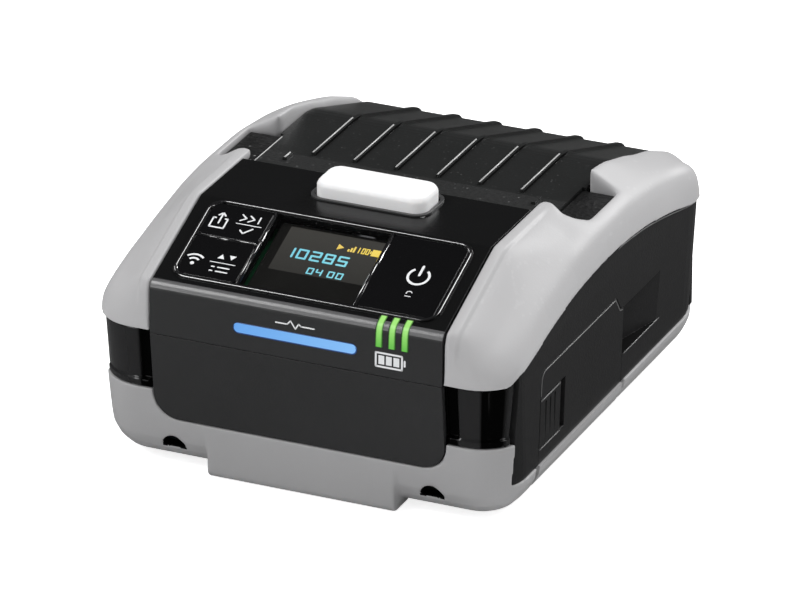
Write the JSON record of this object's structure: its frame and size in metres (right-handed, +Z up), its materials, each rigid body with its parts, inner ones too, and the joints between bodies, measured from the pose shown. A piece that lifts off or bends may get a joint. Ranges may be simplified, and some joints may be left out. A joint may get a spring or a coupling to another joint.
{
  "type": "portable thermal printer",
  "caption": "Palm-sized battery thermal printer with sloped key panel, lift-up ribbed lid over the paper well, corner bumpers and a slide-out battery pack.",
  "frame": {"origin": "middle of the footprint, at the height of the surface that the printer stands on", "axes": "+X to the right seen from the key panel's front, +Y towards the back where the lid is hinged, +Z up"},
  "size_m": [0.088, 0.112, 0.0524],
  "materials": {
    "grey_shell": "satin",
    "dark_shell": "satin",
    "lid_black": "fine texture",
    "piano_black": "polished",
    "front_grey": "satin",
    "light_bumper": "satin",
    "smoked_window": "polished",
    "display": "polished",
    "circuit_board": "solder mask",
    "switch_metal": "bright",
    "key_black": "polished",
    "status_blue": "translucent",
    "light_green": "translucent",
    "white_button": "satin",
    "collar_grey": "satin",
    "spring_steel": "bright",
    "zinc_steel": "zinc plated",
    "inner_black": "moulded",
    "platen_rubber": "ground",
    "bronze": "satin",
    "gear_white": "moulded",
    "motor_steel": "satin",
    "head_aluminium": "cast",
    "head_ceramic": "glazed",
    "tear_steel": "bright",
    "guide_grey": "moulded",
    "contact_gold": "plated",
    "cell_sleeve": "shrink sleeve",
    "latch_black": "satin",
    "shield_can": "tin plated",
    "cover_rubber": "moulded",
    "screw_steel": "black zinc"
  },
  "bodies": {
    "chassis": {"lower_case": "grey_shell", "middle_case": "dark_shell", "side_cheeks": "lid_black", "left_corner_pillar": "piano_black", "right_corner_pillar": "piano_black", "front_plate": "dark_shell", "front_cover": "front_grey", "left_upper_bumper": "light_bumper", "right_upper_bumper": "light_bumper", "control_panel": "piano_black", "display_window": "smoked_window", "display_module": "display", "key_board": "circuit_board", "key_switches": "switch_metal", "status_light_bar": "status_blue", "battery_lights": "light_green", "light_board": "circuit_board", "button_collar": "collar_grey", "button_springs": "spring_steel", "hinge_pin": "zinc_steel", "hinge_spring": "spring_steel", "motor": "motor_steel", "gear_plate": "zinc_steel", "head_frame": "zinc_steel", "head_springs": "spring_steel", "tear_bar": "tear_steel", "paper_well": "inner_black", "media_sensor": "circuit_board", "battery_bay": "inner_black", "battery_contacts": "contact_gold", "main_board": "circuit_board", "radio_module": "shield_can", "port_board": "circuit_board", "port_sockets": "shield_can", "case_screws": "screw_steel"},
    "lid": {"lid_cover": "lid_black", "lid_frame": "inner_black", "platen_bushes": "bronze"},
    "platen": {"platen_roller": "platen_rubber", "platen_shaft": "zinc_steel", "platen_gear": "gear_white"},
    "idler_gear": {"idler_gear": "gear_white"},
    "motor_pinion": {"motor_pinion": "bronze"},
    "release_button": {"release_button": "white_button"},
    "latch_yoke": {"latch_yoke": "zinc_steel"},
    "feed_key": {"feed_key": "key_black"},
    "select_key": {"select_key": "key_black"},
    "power_key": {"power_key": "key_black"},
    "thermal_head": {"heat_sink": "head_aluminium", "print_head": "head_ceramic"},
    "right_media_guide": {"right_media_guide": "guide_grey"},
    "left_media_guide": {"left_media_guide": "guide_grey"},
    "guide_pinion": {"guide_pinion": "gear_white"},
    "battery": {"battery_pack": "dark_shell", "battery_pack_strip": "grey_shell", "battery_cells": "cell_sleeve"},
    "battery_latch": {"battery_latch": "latch_black"},
    "port_cover": {"port_cover": "cover_rubber"}
  },
  "joints": [
    {"name": "lid_hinge", "type": "hinge", "parent": "chassis", "child": "lid", "pos_m": [0, 0.0483, 0.0303], "axis": [-1, 0, 0], "range_deg": [0, 95]},
    {"name": "platen_spin", "type": "hinge", "parent": "lid", "child": "platen", "pos_m": [0, -0.0045, 0.0383], "axis": [1, 0, 0], "continuous": true},
    {"name": "idler_spin", "type": "hinge", "parent": "chassis", "child": "idler_gear", "pos_m": [-0.031, -0.00775, 0.02618], "axis": [1, 0, 0], "continuous": true},
    {"name": "motor_spin", "type": "hinge", "parent": "chassis", "child": "motor_pinion", "pos_m": [-0.031, -0.01762, 0.01927], "axis": [1, 0, 0], "continuous": true},
    {"name": "release_press", "type": "slide", "parent": "chassis", "child": "release_button", "axis": [0, 0, -1], "range_m": [0, 0.0015], "stiffness_N_per_m": 500, "deforming": ["button_springs"]},
    {"name": "latch_turn", "type": "hinge", "parent": "chassis", "child": "latch_yoke", "pos_m": [0, -0.016, 0.0318], "axis": [1, 0, 0], "range_deg": [0, 12]},
    {"name": "feed_key_press", "type": "slide", "parent": "chassis", "child": "feed_key", "axis": [0, 0.3635, -0.9316], "range_m": [0, 0.0004], "stiffness_N_per_m": 800},
    {"name": "select_key_press", "type": "slide", "parent": "chassis", "child": "select_key", "axis": [0, 0.3635, -0.9316], "range_m": [0, 0.0004], "stiffness_N_per_m": 800},
    {"name": "power_key_press", "type": "slide", "parent": "chassis", "child": "power_key", "axis": [0, 0.3635, -0.9316], "range_m": [0, 0.0004], "stiffness_N_per_m": 800},
    {"name": "head_pivot", "type": "hinge", "parent": "chassis", "child": "thermal_head", "pos_m": [0, -0.0115, 0.0327], "axis": [1, 0, 0], "range_deg": [0, 1.5], "stiffness_Nm_per_rad": 0.4},
    {"name": "right_guide_slide", "type": "slide", "parent": "chassis", "child": "right_media_guide", "axis": [-1, 0, 0], "range_m": [0, 0.01]},
    {"name": "left_guide_slide", "type": "slide", "parent": "chassis", "child": "left_media_guide", "axis": [1, 0, 0], "range_m": [0, 0.01]},
    {"name": "guide_pinion_spin", "type": "hinge", "parent": "chassis", "child": "guide_pinion", "pos_m": [0, 0.0387, 0.0045], "axis": [0, 0, 1], "range_deg": [0, 240]},
    {"name": "battery_slide", "type": "slide", "parent": "chassis", "child": "battery", "axis": [1, 0, 0], "range_m": [0, 0.06]},
    {"name": "latch_slide", "type": "slide", "parent": "battery", "child": "battery_latch", "axis": [0, 1, 0], "range_m": [0, 0.002], "stiffness_N_per_m": 300},
    {"name": "port_cover_hinge", "type": "hinge", "parent": "chassis", "child": "port_cover", "pos_m": [-0.0432, 0.023, 0.0122], "axis": [0, -1, 0], "range_deg": [0, 110]}
  ],
  "couplings": [
    {"joint": "idler_spin", "follows": "platen_spin", "ratio": -0.38889},
    {"joint": "motor_spin", "follows": "platen_spin", "ratio": 1.1667},
    {"joint": "latch_turn", "follows": "release_press", "rad_per_m": 139},
    {"joint": "left_guide_slide", "follows": "right_guide_slide", "ratio": 1},
    {"joint": "guide_pinion_spin", "follows": "right_guide_slide", "rad_per_m": 416.67}
  ]
}
